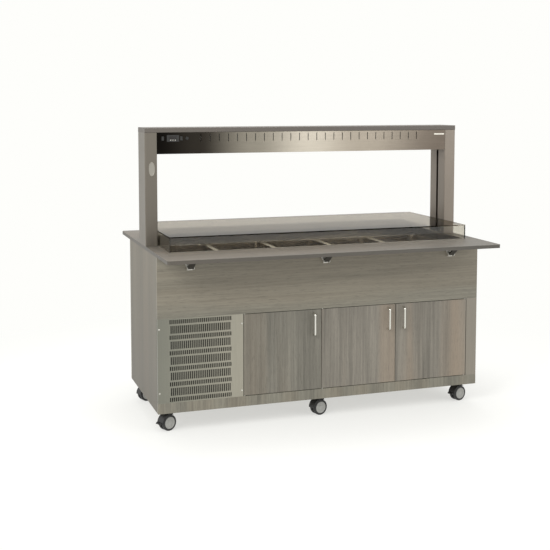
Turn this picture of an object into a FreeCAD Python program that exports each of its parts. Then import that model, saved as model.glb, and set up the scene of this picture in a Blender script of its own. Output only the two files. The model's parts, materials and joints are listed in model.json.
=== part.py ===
import FreeCAD, Part
import math
import operator
import os
from types import SimpleNamespace

import Sketcher
from FreeCAD import Rotation, Vector

# A mobile refrigerated salad bar: a laminate cabinet on six castors, a steel well with five
# food containers, folding tray slides front and back, and a portal with a lamp canopy that
# carries a clear cover up and down.
#
# Millimetres. X runs along the bar, the doors face -Y, Z is up. The origin is on the floor,
# under the middle of the cabinet.

SIZES = {
    # the cabinet
    "length": 1775,  # over the end panels
    "depth": 710,  # front face to back face
    "floor_gap": 107,  # floor to the underside of the cabinet
    "worktop_z": 910,  # floor to the top of the worktop
    "board": 18,  # laminate panels
    "slab": 18,  # worktop and tray slides
    "plinth_tall": 52,  # rail under the doors
    "door_zone": 425,  # height of the doors, grille and strip, with their gaps
    "bay_width": 443,  # machine bay, left end to its last edge
    "strip_width": 64,  # steel strip at the right end
    "front_gap": 3,  # between doors, and round them
    "sheet": 1.5,  # steel sheet of the well, grille, strip and canopy
    "sheet_return": 14,  # how far the grille and strip are folded back at their edges
    "upright_back": 2,  # the uprights stand this far behind the doors
    # the vent grille
    "slot_wide": 5.5,
    "slot_pitch": 9.75,
    "slot_count": 33,  # in a short row; a long row, half a pitch in, has one fewer
    "slot_short": 21,
    "slot_long": 39,
    "slot_bridge": 9.2,  # metal between two rows
    "slot_side": 61,  # left edge of the panel to the first slot
    "slot_pairs": 5,  # pairs of a short row and a long row, under one last short row
    # doors
    "pivot_inset": 5,  # pivot axis from the door's hinge edge and from its front
    "pivot_pin": 5,  # pin diameter
    "pivot_clear": 0.1,  # bore over pin, on the diameter
    "pivot_reach": 10,  # pin inside the door
    "washer_wide": 9,
    "handle_long": 123,
    "handle_bar": 10,  # bar diameter
    "handle_reach": 30,  # door face to the far side of the bar
    "handle_drop": 13,  # door's top edge to the handle's top
    "handle_inset": 42,  # door's free edge to the bar's middle
    # well and containers
    "pan_count": 5,
    "pan_pitch": 325,
    "pan_wide": 324,  # rim, along the bar
    "pan_long": 529,  # rim, across the bar
    "pan_deep": 100,
    "pan_wall": 1.2,
    "pan_draft": 7,  # how much each wall leans in
    "pan_corner": 28,
    "pan_clear": 1.5,  # container to the well and the bars
    "bar_wide": 20,
    "bar_tall": 10,
    "recess_deep": 50,
    "ledge": 12,  # recess floor that carries a container's rim
    "rim_lap": 11,
    "well_deep": 190,
    "well_corner": 12,
    "foam_side": 40,
    "foam_end": 26,
    "foam_floor": 30,
    "drain_x": 700,
    "drain_pipe": 34,
    "drain_bore": 28,
    "drain_long": 60,
    "grate_slot": 3,  # slots of the drain's grate
    "grate_pitch": 6,
    "grate_count": 3,
    "grate_long": 18,
    # the portal
    "column_thick": 64,
    "column_deep": 172,
    "column_wall": 2,
    "column_round": 4,
    "column_slot": 22,
    "canopy_z": 1385,  # floor to the canopy's underside
    "canopy_tall": 110,
    "shelf_thick": 25,
    "lamp_end": 40,  # lamp opening to the columns
    "lamp_wide": 100,
    "vent_wide": 4,
    "vent_tall": 40,
    "vent_pitch": 49.5,
    "vent_count": 26,
    "vent_drop": 8,  # canopy's top to the vents' top
    "vent_shift": 27,  # middle of the row, right of the canopy's middle
    # controls on the canopy's front: each middle from the cabinet's left end
    "power_at": 94,
    "display_at": 147,
    "lift_at": 192,
    "button_at": 222,
    "control_drop": 30,  # canopy's top to their middles
    "rocker_wide": 13,
    "rocker_tall": 25,
    "rocker_sink": 5,  # canopy's front to the rockers' pivots
    "rocker_pin": 3,
    "display_wide": 58,
    "display_tall": 28,
    "button_hole": 18,
    "case_wall": 2.5,
    "case_deep": 16,  # of the rockers' cases
    "lamp_tube": 26,
    "lamp_rise": 40,  # diffuser to the tube's axis
    "gear_wide": 44,  # gear tray over the tube
    "gear_clear": 4,  # tube to gear tray
    "diffuser": 3,
    # the clear cover and its lift
    "cover_gap": 4,  # cover to column
    "cover_inset": 15,  # cover to the cabinet's front
    "cover_wall": 5,
    "cover_tall": 76,
    "lift_travel": 380,
    "rod_inset": 31.5,  # column's inner face to the rod's axis
    "rod_wide": 14,
    "rod_clear": 0.6,
    "rod_hold": 68,  # rod still in its tube when the cover is up
    "tube_wide": 26,
    # tray slides and folding brackets
    "tray_deep": 242,
    "tray_gap": 0.5,
    "tray_round": 14,
    "bracket_side": 167,  # cabinet end to the outer brackets
    "bracket_wide": 52,  # over the hinge lugs
    "bracket_foot": 24,  # at its lower end
    "bracket_waist": 36,  # slab to where it starts to taper
    "bracket_tall": 70,
    "bracket_steel": 2,
    "lug": 8,  # pin axis to the rim of a lug
    "hinge_out": 12,  # hinge axis in front of the cabinet
    "hinge_drop": 12,  # hinge axis under the slab
    "hinge_pin": 6,
    "arm_wide": 44,
    "arm_tall": 15,
    "arm_long": 175,
    "strut_drop": 46,  # strut pivot under the hinge axis
    "strut_long": 80,
    "strut_wide": 30,
    "strut_thick": 8,
    "strut_room": 1,  # stay to its lugs
    # castors
    "wheel_wide": 82,  # diameter
    "wheel_disc": 17,
    "wheel_space": 12,  # between the two discs
    "axle": 10,
    "castor_trail": 21,
    "castor_left": 82,  # cabinet's left end to the first swivel axis
    "castor_middle": 14,  # middle swivel axis, right of the centre
    "castor_right": 46,  # cabinet's right end to the last swivel axis
    "castor_side": 84,  # cabinet's front or back to the swivel axes
    "head_wide": 38,  # swivel head, diameter
    "head_tall": 15,
    "web_clear": 0.75,  # web between the discs, to each
    "hood_gap": 2.5,
    "hood_thick": 3,
    "plate_wide": 58,
    "plate_thick": 4,
    "kingpin": 12,
    "pedal_wide": 24,
    "pedal_long": 12,  # pivot to the tip
    "pedal_pin": 4,
    "pedal_out": 4.5,  # pivot to the hood
    "pedal_up": 3,  # pivot over the wheel's axis
    "turn_clear": 0.1,  # bore over pin, on the diameter
    # refrigeration unit
    "coil_deep": 50,
    "coil_tall": 330,
    "coil_wide": 340,
    "fin_count": 34,
    "fin_room": 5,  # between two fins
    "fin_deep": 7,
    "coil_plate": 4,
    "coil_clear": 6,  # grille's folded edge to the coil
    "tray_steel": 3,
    "tray_rim": 15,  # floor tray beyond the coil's ends
    "shroud_gap": 12,  # coil to the fan shroud
    "shroud_steel": 2,
    "fan_wide": 230,
    "fan_hub": 48,
    "fan_deep": 28,
    "fan_clear": 5,  # blade tips to the shroud
    "blade_count": 5,
    "motor_wide": 76,
    "motor_long": 58,
    "shaft": 8,
    "pot_wide": 170,
    "pot_tall": 190,
    "pot_foot": 14,  # tray to the pot's bottom
    "pot_seam": 88,  # its bottom to the welded seam
    # power inlet
    "gland_at": 120,  # cabinet's left end to its axis
    "gland_up": 60,  # its axis over the plinth
    "gland_thread": 20,
    "gland_nut": 26,  # over the hexagon's corners
    "gland_bore": 8,
    "gland_head": 8,
    "gland_dome": 12,
}

# How far each castor has swivelled, front row then back row, left to right.
SWIVELS = (24, 14, 16, 18, 28, 20)
BRAKED = (0, 2)  # the castors with a brake pedal: the two ends of the front row

doc = FreeCAD.newDocument("salad_bar")
sheet = doc.addObject("Spreadsheet::Sheet", "Size")
nodes = []


class Dim:
    """A size that knows both its number and the sheet formula that gives it."""

    def __init__(self, number, formula):
        self.number = number
        self.formula = formula

    def __float__(self):
        return float(self.number)

    def __add__(self, other):
        return combine(operator.add, self, "+", other)

    def __radd__(self, other):
        return combine(operator.add, other, "+", self)

    def __sub__(self, other):
        return combine(operator.sub, self, "-", other)

    def __rsub__(self, other):
        return combine(operator.sub, other, "-", self)

    def __mul__(self, other):
        return combine(operator.mul, self, "*", other)

    def __rmul__(self, other):
        return combine(operator.mul, other, "*", self)

    def __truediv__(self, other):
        return combine(operator.truediv, self, "/", other)

    def __neg__(self):
        return combine(operator.mul, -1, "*", self)


def combine(act, left, sign, right):
    """The Dim for a sum, difference, product or quotient."""
    formulas = [v.formula if isinstance(v, Dim) else f"({v:g})" for v in (left, right)]
    numbers = [v.number if isinstance(v, Dim) else v for v in (left, right)]
    return Dim(act(*numbers), f"({formulas[0]} {sign} {formulas[1]})")


def fill_sheet():
    """Writes the sizes into the spreadsheet and returns them by name."""
    for row, (name, number) in enumerate(SIZES.items(), start=1):
        sheet.set(f"A{row}", name)
        sheet.set(f"B{row}", str(number))
        sheet.setAlias(f"B{row}", name)
    doc.recompute()
    return SimpleNamespace(**{name: Dim(sheet.get(name), f"Size.{name}") for name in SIZES})


s = fill_sheet()


# ---------------------------------------------------------------- drawing helpers


def bind(thing, path, value):
    """Ties a property or a sketch constraint to its formula."""
    if isinstance(value, Dim):
        thing.setExpression(path, value.formula)
    elif not path.startswith("Constraints"):
        thing.setExpression(path, f"{value:g}")


def new_body(label):
    """Starts a sub-part; its label is the name of the node."""
    body = doc.addObject("PartDesign::Body", "Body")
    body.Label = label
    body.AllowCompound = True
    nodes.append(body)
    return body


def origin_part(body, role):
    """One of a body's own origin planes or axes."""
    return next(part for part in body.Origin.OriginFeatures if part.Role == role)


def sketch_on(body, role="XY_Plane", offset=0):
    """An empty sketch on one of the body's own planes, moved along its normal."""
    sketch = body.newObject("Sketcher::SketchObject", "Sketch")
    sketch.AttachmentSupport = [(origin_part(body, role), "")]
    sketch.MapMode = "FlatFace"
    bind(sketch, "AttachmentOffset.Base.z", offset)
    return sketch


def fix_point(sketch, geometry, point, x, y):
    """Fixes a point of the sketch at x, y from its origin."""
    for kind, value in (("DistanceX", x), ("DistanceY", y)):
        rule = Sketcher.Constraint(kind, -1, 1, geometry, point, float(value))
        bind(sketch, f"Constraints[{sketch.addConstraint(rule)}]", value)


def polygon(sketch, points):
    """A closed outline of straight lines."""
    first = sketch.GeometryCount
    corners = [Vector(float(x), float(y), 0) for x, y in points]
    ends = corners[1:] + corners[:1]
    sketch.addGeometry([Part.LineSegment(a, b) for a, b in zip(corners, ends)], False)
    count = len(points)
    joined = [
        Sketcher.Constraint("Coincident", first + i, 2, first + (i + 1) % count, 1)
        for i in range(count)
    ]
    sketch.addConstraint(joined)
    for i, (x, y) in enumerate(points):
        fix_point(sketch, first + i, 1, x, y)


def rectangle(sketch, x, y):
    polygon(sketch, [(x[0], y[0]), (x[1], y[0]), (x[1], y[1]), (x[0], y[1])])


def circle(sketch, x, y, radius):
    centre = Vector(float(x), float(y), 0)
    index = sketch.addGeometry(Part.Circle(centre, Vector(0, 0, 1), float(radius)), False)
    fix_point(sketch, index, 3, x, y)
    rule = Sketcher.Constraint("Radius", index, float(radius))
    bind(sketch, f"Constraints[{sketch.addConstraint(rule)}]", radius)


def rounded_rectangle(sketch, x, y, radius):
    """A rectangle with four equal rounded corners."""
    x0, x1, y0, y1, r = (float(v) for v in (*x, *y, radius))
    lines = [
        ((x0 + r, y0), (x1 - r, y0)),
        ((x1, y0 + r), (x1, y1 - r)),
        ((x1 - r, y1), (x0 + r, y1)),
        ((x0, y1 - r), (x0, y0 + r)),
    ]
    centres = [(x1 - r, y0 + r), (x1 - r, y1 - r), (x0 + r, y1 - r), (x0 + r, y0 + r)]
    for a, b in lines:
        sketch.addGeometry(Part.LineSegment(Vector(*a, 0), Vector(*b, 0)), False)
    for i, centre in enumerate(centres):
        ring = Part.Circle(Vector(*centre, 0), Vector(0, 0, 1), r)
        start = (i - 1) * math.pi / 2
        sketch.addGeometry(Part.ArcOfCircle(ring, start, start + math.pi / 2), False)
    rules = [Sketcher.Constraint("Horizontal", i) for i in (0, 2)]
    rules += [Sketcher.Constraint("Vertical", i) for i in (1, 3)]
    for i in range(4):
        rules.append(Sketcher.Constraint("Tangent", i, 2, 4 + i, 1))
        rules.append(Sketcher.Constraint("Tangent", 4 + i, 2, (i + 1) % 4, 1))
    rules += [Sketcher.Constraint("Equal", 4, 4 + i) for i in (1, 2, 3)]
    sketch.addConstraint(rules)
    places = [("DistanceY", 0, y[0]), ("DistanceX", 1, x[1]), ("DistanceY", 2, y[1])]
    for kind, line, value in places + [("DistanceX", 3, x[0])]:
        rule = Sketcher.Constraint(kind, -1, 1, line, 1, float(value))
        bind(sketch, f"Constraints[{sketch.addConstraint(rule)}]", value)
    rule = Sketcher.Constraint("Radius", 4, r)
    bind(sketch, f"Constraints[{sketch.addConstraint(rule)}]", radius)


def extrude(body, kind, sketch, length, side="One side", back=False):
    """A Pad or a Pocket of the sketch."""
    feature = body.newObject(f"PartDesign::{kind}", kind)
    feature.Profile = sketch
    feature.SideType = side
    feature.Reversed = back
    bind(feature, "Length", length)
    return feature


def add_box(body, x, y, z):
    """Adds the block between two x, two y and two z."""
    sketch = sketch_on(body, offset=z[0])
    rectangle(sketch, x, y)
    return extrude(body, "Pad", sketch, z[1] - z[0])


def cut_box(body, x, y, z):
    """Cuts the same block away."""
    sketch = sketch_on(body, offset=z[1])
    rectangle(sketch, x, y)
    return extrude(body, "Pocket", sketch, z[1] - z[0])


def add_round_box(body, x, y, z, radius):
    sketch = sketch_on(body, offset=z[0])
    rounded_rectangle(sketch, x, y, radius)
    return extrude(body, "Pad", sketch, z[1] - z[0])


def cut_round_box(body, x, y, z, radius):
    sketch = sketch_on(body, offset=z[1])
    rounded_rectangle(sketch, x, y, radius)
    return extrude(body, "Pocket", sketch, z[1] - z[0])


def add_rod(body, x, y, z, radius):
    """Adds an upright cylinder."""
    sketch = sketch_on(body, offset=z[0])
    circle(sketch, x, y, radius)
    return extrude(body, "Pad", sketch, z[1] - z[0])


def cut_rod(body, x, y, z, radius):
    sketch = sketch_on(body, offset=z[1])
    circle(sketch, x, y, radius)
    return extrude(body, "Pocket", sketch, z[1] - z[0])


def side_profile(body, x, points):
    """Adds a profile drawn in Y and Z, from the first x to the second."""
    sketch = sketch_on(body, "YZ_Plane", x[0])
    polygon(sketch, points)
    return extrude(body, "Pad", sketch, x[1] - x[0])


def cross_rod(body, x, y, z, radius, kind="Pad"):
    """Adds, or cuts, a cylinder that lies along X."""
    sketch = sketch_on(body, "YZ_Plane", x[0])
    circle(sketch, y, z, radius)
    return extrude(body, kind, sketch, x[1] - x[0], back=kind == "Pocket")


def depth_rod(body, x, y, z, radius, kind="Pad"):
    """Adds, or cuts, a cylinder that lies along Y."""
    sketch = sketch_on(body, "XZ_Plane", -y[0])
    circle(sketch, x, z, radius)
    return extrude(body, kind, sketch, y[1] - y[0], back=kind == "Pad")


def mirror(body, features, role="YZ_Plane"):
    """Repeats features on the other side of a plane."""
    copy = body.newObject("PartDesign::Mirrored", "Mirrored")
    copy.Originals = features
    copy.MirrorPlane = (origin_part(body, role), [""])
    body.Tip = copy
    return copy


def row(body, features, sketch, axis, length, count):
    """Repeats features in a straight row along an axis of their sketch."""
    copies = body.newObject("PartDesign::LinearPattern", "LinearPattern")
    copies.Originals = features
    copies.Refine = False
    copies.Direction = (sketch, [axis])
    bind(copies, "Length", length)
    bind(copies, "Occurrences", count)
    body.Tip = copies
    return copies


def round_edges(body, radius, pick):
    """Rounds the edges that pick chooses."""
    doc.recompute()
    solid = body.Tip
    chosen = [f"Edge{i}" for i, edge in enumerate(solid.Shape.Edges, start=1) if pick(edge)]
    fillet = body.newObject("PartDesign::Fillet", "Fillet")
    fillet.Base = (solid, chosen)
    bind(fillet, "Radius", radius)
    return fillet


def runs_along(edge, axis):
    """True for a straight edge parallel to X, Y or Z."""
    if edge.Curve.TypeId != "Part::GeomLine":
        return False
    return abs(abs(edge.Curve.Direction.dot(axis)) - 1) < 1e-6


def place(body, x, y, z, turn=None):
    """Moves a sub-part that was drawn round its own origin."""
    for path, value in (("x", x), ("y", y), ("z", z)):
        bind(body, f"Placement.Base.{path}", value)
    if turn is not None:
        body.Placement = FreeCAD.Placement(body.Placement.Base, turn)


# ---------------------------------------------------------------- shared places

half = s.length / 2
half_depth = s.depth / 2
inner_x = half - s.board
inner_y = half_depth - s.board
deck_under = s.worktop_z - s.slab
door_low = s.floor_gap + s.plinth_tall
door_high = door_low + s.door_zone
bay_right = s.bay_width - half
strip_left = half - s.strip_width
door_pitch = (strip_left - bay_right) / 3

column_in = half - s.column_thick
column_half = s.column_deep / 2
canopy_top = s.canopy_z + s.canopy_tall

cover_x = column_in - s.cover_gap
cover_y = half_depth - s.cover_inset
lip = 2 * s.sheet
recess_x = s.pan_pitch * s.pan_count / 2 + 2
recess_y = cover_y - s.cover_wall - lip
recess_z = s.worktop_z - s.recess_deep
well_x = recess_x - s.ledge
well_y = s.pan_long / 2 - s.rim_lap
well_z = recess_z - s.well_deep
foam_z = well_z - s.sheet - s.foam_floor
flange_top = s.worktop_z + s.sheet
seat = 0.3  # free room under a piece that rests on another and lifts off

rod_x = column_in + s.rod_inset
tube_top = deck_under - 4
rod_foot = tube_top - s.lift_travel - s.rod_hold
drain_z = well_z - s.drain_long

BOTH = (-half, half)


def span(limit):
    """From minus a size to plus it."""
    return (-limit, limit)


def about(middle, width):
    """Half a width each side of a middle."""
    return (middle - width / 2, middle + width / 2)


# ---------------------------------------------------------------- the cabinet


def carcass_boards():
    """Base board, the two plinth rails and the three uprights that carry the well."""
    body = new_body("carcass_boards")
    plinth_z = (s.floor_gap, door_low)
    base_y = span(inner_y - seat)
    add_box(body, span(inner_x), base_y, (s.floor_gap, s.floor_gap + s.board))
    rail = add_box(body, BOTH, (-half_depth, -inner_y), plinth_z)
    mirror(body, [rail], "XZ_Plane")
    upright_z = (s.floor_gap + s.board + seat, foam_z - seat)
    upright_y = (s.upright_back - inner_y, inner_y - seat)
    for left in (bay_right - s.board, bay_right + door_pitch - s.board / 2, strip_left):
        add_box(body, (left, left + s.board), upright_y, upright_z)


def side_panels():
    body = new_body("side_panels")
    panel = add_box(body, (inner_x, half), span(inner_y), (s.floor_gap, deck_under))
    mirror(body, [panel])


def upper_front_panel():
    body = new_body("upper_front_panel")
    add_box(body, BOTH, (-half_depth, -inner_y), (door_high, deck_under))


def back_panel():
    """The whole back, with the hole of the cable gland low on the machine side."""
    body = new_body("back_panel")
    add_box(body, BOTH, (inner_y, half_depth), (door_low, deck_under))
    depth_rod(body, gland_x, (inner_y, half_depth), gland_z, s.gland_thread / 2, "Pocket")


def folded_panel(body, x, z):
    """A steel front with its four edges folded back."""
    y = (-half_depth, s.sheet_return - half_depth)
    add_box(body, x, y, z)
    inner = [(v[0] + s.sheet, v[1] - s.sheet) for v in (x, z)]
    cut_box(body, inner[0], (s.sheet - half_depth, y[1] + 1), inner[1])


def vent_grille():
    """Steel panel over the machine bay, with rows of short and long upright slots."""
    body = new_body("vent_grille")
    panel_x = (-half, bay_right - s.front_gap / 2)
    folded_panel(body, panel_x, (door_low, door_high))
    pair = s.slot_short + s.slot_long + 2 * s.slot_bridge
    field = pair * s.slot_pairs + s.slot_short
    top = (door_low + door_high) / 2 + field / 2
    run = s.slot_pitch * (s.slot_count - 1)
    long_top = top - s.slot_short - s.slot_bridge
    rows = (
        (0, top, s.slot_short, run, s.slot_count, s.slot_pairs + 1),
        (s.slot_pitch / 2, long_top, s.slot_long, run - s.slot_pitch, s.slot_count - 1, s.slot_pairs),
    )
    for shift, high, tall, reach, across, down in rows:
        sketch = sketch_on(body, "XZ_Plane", half_depth + 1)
        left = s.slot_side + shift - half
        rectangle(sketch, (left, left + s.slot_wide), (high - tall, high))
        slot = extrude(body, "Pocket", sketch, s.sheet + 2)
        slots = row(body, [slot], sketch, "H_Axis", reach, across)
        slots.Direction2 = (sketch, ["V_Axis"])
        slots.Reversed2 = True
        bind(slots, "Length2", pair * (down - 1))
        bind(slots, "Occurrences2", down)


def steel_strip():
    body = new_body("steel_strip")
    folded_panel(body, (strip_left + s.front_gap / 2, half), (door_low, door_high))


def worktop_frame():
    """Laminate frame round the well, with the holes that the lift rods pass through."""
    body = new_body("worktop_frame")
    z = (deck_under, s.worktop_z)
    add_box(body, BOTH, span(half_depth), z)
    room = s.sheet + 1
    cut_box(body, span(recess_x + room), span(recess_y + room), z)
    hole = cut_rod(body, rod_x, 0, z, s.rod_wide / 2 + 3)
    mirror(body, [hole])


# ---------------------------------------------------------------- the well


def well_basin():
    """One welded steel tub: flange, recess, ledge for the rims, deep well and slotted drain."""
    body = new_body("well_basin")
    wall = s.sheet
    corner = s.well_corner
    flange_x = column_in - s.cover_gap / 2
    add_box(body, span(flange_x), span(cover_y + s.cover_wall), (s.worktop_z, flange_top))
    outer = (span(recess_x + wall), span(recess_y + wall))
    add_round_box(body, *outer, (recess_z - wall, s.worktop_z), corner + wall)
    outer = (span(well_x + wall), span(well_y + wall))
    add_round_box(body, *outer, (well_z - wall, recess_z - wall), corner + wall)
    add_rod(body, s.drain_x, 0, (drain_z, well_z - wall), s.drain_pipe / 2)
    cut_round_box(body, span(recess_x), span(recess_y), (recess_z, flange_top), corner)
    cut_round_box(body, span(well_x), span(well_y), (well_z, recess_z), corner)
    cut_rod(body, s.drain_x, 0, (drain_z, well_z - wall), s.drain_bore / 2)
    grate = sketch_on(body, offset=well_z)
    reach = s.grate_pitch * (s.grate_count - 1)
    rectangle(grate, about(s.drain_x - reach / 2, s.grate_slot), span(s.grate_long / 2))
    slot = extrude(body, "Pocket", grate, wall + 1)
    row(body, [slot], grate, "H_Axis", reach, s.grate_count)


def divider_bars():
    """Steel bars across the well, between one container and the next."""
    body = new_body("divider_bars")
    reach = s.pan_pitch * (s.pan_count - 2)
    sketch = sketch_on(body, offset=recess_z - s.bar_tall)
    rectangle(sketch, about(-reach / 2, s.bar_wide), span(well_y))
    bar = extrude(body, "Pad", sketch, s.bar_tall)
    row(body, [bar], sketch, "H_Axis", reach, s.pan_count - 1)


def well_insulation():
    """Foam jacket round the deep well, with the drain's hole."""
    body = new_body("well_insulation")
    wall = s.sheet
    low = foam_z
    foam = (span(well_x + wall + s.foam_end), span(well_y + wall + s.foam_side))
    add_box(body, *foam, (low, recess_z - wall))
    corner = s.well_corner + wall
    tub = (span(well_x + wall), span(well_y + wall))
    cut_round_box(body, *tub, (well_z - wall, recess_z - wall), corner)
    cut_rod(body, s.drain_x, 0, (low, well_z - wall), s.drain_pipe / 2 + 0.5)


def container(number):
    """A steel food container: a flat rim and a tapered, round-cornered tub."""
    body = new_body(f"container_{number}")
    rim_low = recess_z + seat
    rim_top = rim_low + s.sheet
    floor_z = rim_top - s.pan_deep
    rim = (span(s.pan_wide / 2), span(s.pan_long / 2))
    add_round_box(body, *rim, (rim_low, rim_top), s.well_corner)
    tub_x = (s.pan_pitch - s.bar_wide) / 2 - s.pan_clear
    tub_y = well_y - s.pan_clear

    def section(z, inset, corner):
        sketch = sketch_on(body, offset=z)
        rounded_rectangle(sketch, span(tub_x - inset), span(tub_y - inset), corner)
        return sketch

    outer = (section(rim_low, 0, s.pan_corner), section(floor_z, s.pan_draft, s.pan_corner))
    wall = s.pan_wall
    tight = s.pan_corner - wall
    inner = (section(rim_top, wall, tight), section(floor_z + wall, s.pan_draft + wall, tight))
    for kind, (high, low) in (("AdditiveLoft", outer), ("SubtractiveLoft", inner)):
        loft = body.newObject(f"PartDesign::{kind}", kind)
        loft.Profile = high
        loft.Sections = [(low, [""])]
    place(body, s.pan_pitch * (number - 1) - s.pan_pitch * (s.pan_count - 1) / 2, 0, 0)


# ---------------------------------------------------------------- the portal


def columns():
    """The two hollow columns, each slotted down its inner face for the cover's arm."""
    body = new_body("columns")
    z = (s.worktop_z, canopy_top)
    x = (column_in, half)
    wall = s.column_wall
    tube = add_round_box(body, x, span(column_half), z, s.column_round)
    inside = (x[0] + wall, x[1] - wall)
    hollow = cut_round_box(body, inside, span(column_half - wall), z, s.column_round - wall)
    slot = cut_box(body, (x[0] - 1, inside[0] + 1), span(s.column_slot / 2), z)
    mirror(body, [tube, hollow, slot])


def canopy_housing():
    """Folded steel channel between the columns: vents on both sides, lamp opening below."""
    body = new_body("canopy_housing")
    wall = s.sheet
    z = (s.canopy_z, canopy_top)
    add_box(body, span(column_in), span(column_half), z)
    cut_box(body, span(column_in - wall), span(column_half - wall), (z[0] + wall, z[1]))
    lamp_x = column_in - s.lamp_end
    cut_box(body, span(lamp_x), span(s.lamp_wide / 2), (z[0], z[0] + wall))
    sketch = sketch_on(body, "XZ_Plane")
    run = s.vent_pitch * (s.vent_count - 1)
    top = canopy_top - s.vent_drop
    first = s.vent_shift - run / 2
    rectangle(sketch, about(first, s.vent_wide), (top - s.vent_tall, top))
    vent = extrude(body, "Pocket", sketch, s.column_deep + 2, side="Symmetric")
    row(body, [vent], sketch, "H_Axis", run, s.vent_count)
    skin = (-column_half - 1, wall + 1 - column_half)
    for x, wide, tall in control_holes:
        cut_box(body, about(x, wide), skin, about(control_z, tall))
    depth_rod(body, button_x, skin, control_z, s.button_hole / 2, "Pocket")


def top_shelf():
    body = new_body("top_shelf")
    add_box(body, BOTH, span(column_half), (canopy_top, canopy_top + s.shelf_thick))
    round_edges(body, 3, lambda edge: runs_along(edge, Vector(1, 0, 0)))


def lamp_unit():
    """Lamp tube in its two holders under a gear tray, over the diffuser that closes the canopy."""
    body = new_body("lamp_unit")
    low = s.canopy_z + s.sheet
    lamp_x = column_in - s.lamp_end
    lap = 8
    plate = (span(lamp_x + lap), span(s.lamp_wide / 2 + lap))
    add_box(body, *plate, (low, low + s.diffuser))
    lamp_z = low + s.lamp_rise
    tube_x = lamp_x - s.lamp_end
    cross_rod(body, span(tube_x), 0, lamp_z, s.lamp_tube / 2)
    holder_y = span(s.lamp_tube / 2 + 3)
    holder_z = (lamp_z - s.lamp_tube / 2 - 7, canopy_top)
    holder = add_box(body, (tube_x, tube_x + 15), holder_y, holder_z)
    mirror(body, [holder])
    gear_low = lamp_z + s.lamp_tube / 2 + s.gear_clear
    add_box(body, span(tube_x), span(s.gear_wide / 2), (gear_low, canopy_top))


control_z = canopy_top - s.control_drop
power_x = s.power_at - half
display_x = s.display_at - half
lift_x = s.lift_at - half
button_x = s.button_at - half
rocker_pivot_y = s.rocker_sink - column_half
control_holes = (
    (power_x, s.rocker_wide, s.rocker_tall),
    (lift_x, s.rocker_wide, s.rocker_tall),
    (display_x, s.display_wide, s.display_tall),
)


def control_housings():
    """Thermostat with its bezel, and the cases behind the rockers and the push button."""
    body = new_body("control_housings")
    face = -column_half
    skin = face + s.sheet
    bezel = 3
    wide, tall = s.display_wide, s.display_tall
    bezel_x = about(display_x, wide + 2 * bezel)
    add_box(body, bezel_x, (face - bezel, face), about(control_z, tall + 2 * bezel))
    add_box(body, about(display_x, wide - 1), (face, face + 40), about(control_z, tall - 1))
    window = (about(display_x, wide * 0.7), about(control_z + bezel, tall / 2))
    cut_box(body, window[0], (face - bezel - 1, face - 2), window[1])
    wide, tall = s.rocker_wide, s.rocker_tall
    case = (skin, skin + s.case_deep)
    for x in (power_x, lift_x):
        outer = (about(x, wide + 2 * s.case_wall), about(control_z, tall + 2 * s.case_wall))
        add_box(body, outer[0], case, outer[1])
        inside = (skin, case[1] - s.case_wall)
        cut_box(body, about(x, wide), inside, about(control_z, tall))
        cross_rod(body, about(x, wide), rocker_pivot_y, control_z, s.rocker_pin / 2)
    hole = s.button_hole / 2
    depth_rod(body, button_x, case, control_z, hole + s.case_wall)
    cut = (skin, case[1] - s.case_wall)
    depth_rod(body, button_x, cut, control_z, hole, "Pocket")


def rocker(label, x, rest_tilt):
    """A rocker that pivots on its case's pin; its face is a shallow V."""
    body = new_body(label)
    proud = -s.rocker_sink - 1.1
    high = s.rocker_tall / 2 - 2
    tilt = high * math.tan(math.radians(rest_tilt))
    outline = [
        (proud - tilt, high),
        (proud + 1, 0),
        (proud + tilt, -high),
        (-1.5, -high),
        (4, -4),
        (4, 4),
        (-1.5, high),
    ]
    side_profile(body, span(s.rocker_wide / 2 - 0.4), outline)
    bore = (s.rocker_pin + s.turn_clear) / 2
    cross_rod(body, span(s.rocker_wide / 2), 0, 0, bore, "Pocket")
    place(body, x, rocker_pivot_y, control_z)


def lamp_button():
    """Round push button that travels 2 mm into its case."""
    body = new_body("lamp_button")
    radius = s.button_hole / 2 - 0.4
    proud = 3
    y = (-column_half - proud, s.sheet + 6 - column_half)
    depth_rod(body, button_x, y, control_z, radius)
    rim = float(y[0]) + 0.1
    round_edges(body, 1.2, lambda edge: edge.BoundBox.YMax < rim)


# ---------------------------------------------------------------- the cover and its lift


def cover_shell():
    """Clear box, open below, that stands on the well's flange."""
    body = new_body("cover_shell")
    z = (flange_top + seat, flange_top + seat + s.cover_tall)
    add_box(body, span(cover_x), span(cover_y), z)
    inner = (span(cover_x - s.cover_wall), span(cover_y - s.cover_wall))
    cut_box(body, *inner, (z[0], z[1] - s.cover_wall))


def cover_lift_arms():
    """At each end a plate on the cover, a neck through the column's slot, and the lift rod."""
    body = new_body("cover_lift_arms")
    low = flange_top + seat + 8
    plate = add_box(body, (cover_x, cover_x + 3), span(60), (low, low + 56))
    neck_z = (low + 8, low + 48)
    neck = add_box(body, (cover_x + 3, rod_x - 6), span(s.column_slot / 2 - 3), neck_z)
    block = add_box(body, about(rod_x, s.rod_wide + 10), span(14), neck_z)
    rod = add_rod(body, rod_x, 0, (rod_foot, neck_z[0] + 5), s.rod_wide / 2)
    mirror(body, [plate, neck, block, rod])


def lift_actuators():
    """Upright drive tubes in the cabinet's ends, with motor and wall feet."""
    body = new_body("lift_actuators")
    low = rod_foot - 12
    tube = add_rod(body, rod_x, 0, (low, tube_top), s.tube_wide / 2)
    motor = add_round_box(body, about(rod_x, 24), (0, 62), (low, low + 110), 8)
    feet = [
        add_box(body, (rod_x, inner_x), span(9), (z, z + 40))
        for z in (low + 20, tube_top - 60)
    ]
    bore = cut_rod(body, rod_x, 0, (rod_foot - 6, tube_top), (s.rod_wide + s.rod_clear) / 2)
    mirror(body, [tube, motor, *feet, bore])


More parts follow.
